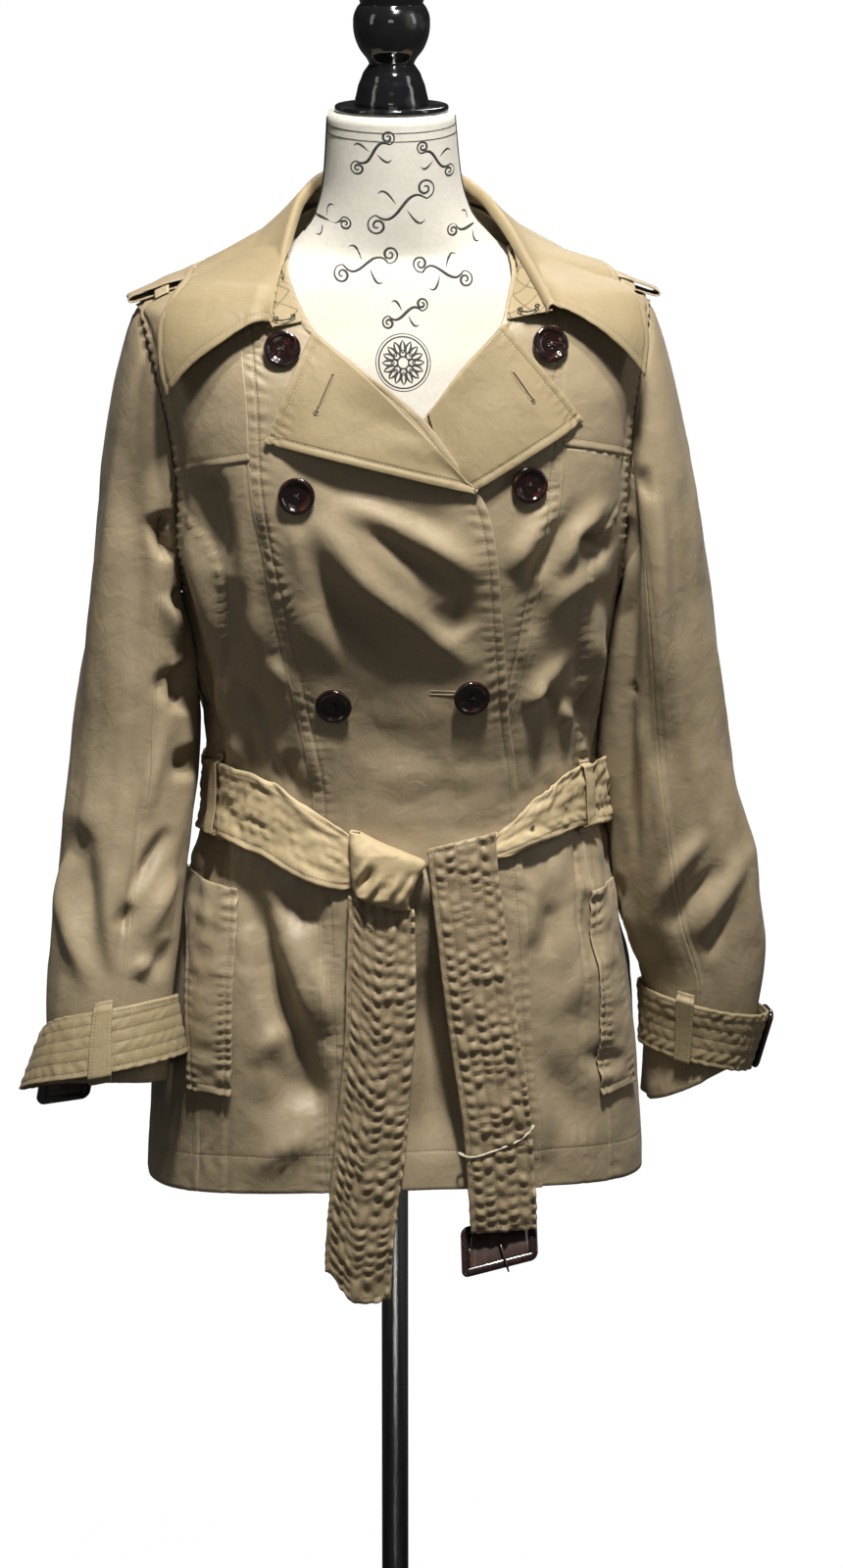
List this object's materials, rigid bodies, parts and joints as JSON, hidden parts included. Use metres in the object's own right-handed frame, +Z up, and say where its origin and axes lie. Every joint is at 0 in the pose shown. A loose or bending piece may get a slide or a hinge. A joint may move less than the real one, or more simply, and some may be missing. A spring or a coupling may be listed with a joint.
{
  "type": "belted double-breasted coat on a dress form",
  "caption": "Short belted double-breasted coat with wide collar, peaked lapels, epaulettes, cuff straps and a knotted belt, on a limbless dress form with a finial and a round stand.",
  "frame": {"origin": "on the floor, under the middle of the round base", "axes": "+Z up; the front of the coat faces -Y; +X is the wearer's left"},
  "size_m": [0.6188, 0.32, 1.3996],
  "materials": {
    "khaki_cloth": "fine cotton twill with a soft satin sheen, topstitched",
    "light_cloth": "the same twill, flat pressed and catching more light, quilted with rows of stitching",
    "dark_buckle": "dark brown glossy plastic",
    "tortoise_button": "dark tortoise, polished, with a low rim and four holes",
    "form_linen": "cream linen cover with a thin dark printed pattern and a dark edge at the neck",
    "black_lacquer": "turned, gloss black lacquer",
    "stand_steel": "satin steel tube",
    "keeper_cord": "pale braided cord",
    "hook_wire": "blackened wire"
  },
  "bodies": {
    "root": {"belt_band": "light_cloth", "belt_buckle": "dark_buckle", "belt_keeper": "keeper_cord", "belt_knot": "light_cloth", "belt_tail_buckle": "light_cloth", "belt_tail_plain": "light_cloth", "buckle_prong": "dark_buckle", "button_chest_left": "tortoise_button", "button_chest_right": "tortoise_button", "button_collar_left": "tortoise_button", "button_collar_right": "tortoise_button", "button_waist_left": "tortoise_button", "button_waist_right": "tortoise_button", "collar_eye": "hook_wire", "collar_fall": "light_cloth", "collar_hook": "hook_wire", "collar_stand": "light_cloth", "form_base": "black_lacquer", "form_body": "form_linen", "form_finial": "black_lacquer", "form_neck_cap": "black_lacquer", "form_pole": "stand_steel", "left_back": "khaki_cloth", "left_belt_loop": "light_cloth", "left_centre_front": "khaki_cloth", "left_cuff_buckle": "dark_buckle", "left_cuff_loop": "light_cloth", "left_cuff_strap": "light_cloth", "left_epaulette": "khaki_cloth", "left_epaulette_loop": "khaki_cloth", "left_front_yoke": "khaki_cloth", "left_lapel": "light_cloth", "left_pocket_welt": "khaki_cloth", "left_side_front": "khaki_cloth", "left_under_sleeve": "khaki_cloth", "left_upper_sleeve": "khaki_cloth", "right_back": "khaki_cloth", "right_belt_loop": "light_cloth", "right_centre_front": "khaki_cloth", "right_cuff_buckle": "dark_buckle", "right_cuff_loop": "light_cloth", "right_cuff_strap": "light_cloth", "right_epaulette": "khaki_cloth", "right_epaulette_loop": "khaki_cloth", "right_front_yoke": "khaki_cloth", "right_lapel": "light_cloth", "right_pocket_welt": "khaki_cloth", "right_side_front": "khaki_cloth", "right_under_sleeve": "khaki_cloth", "right_upper_sleeve": "khaki_cloth"}
  },
  "joints": []
}
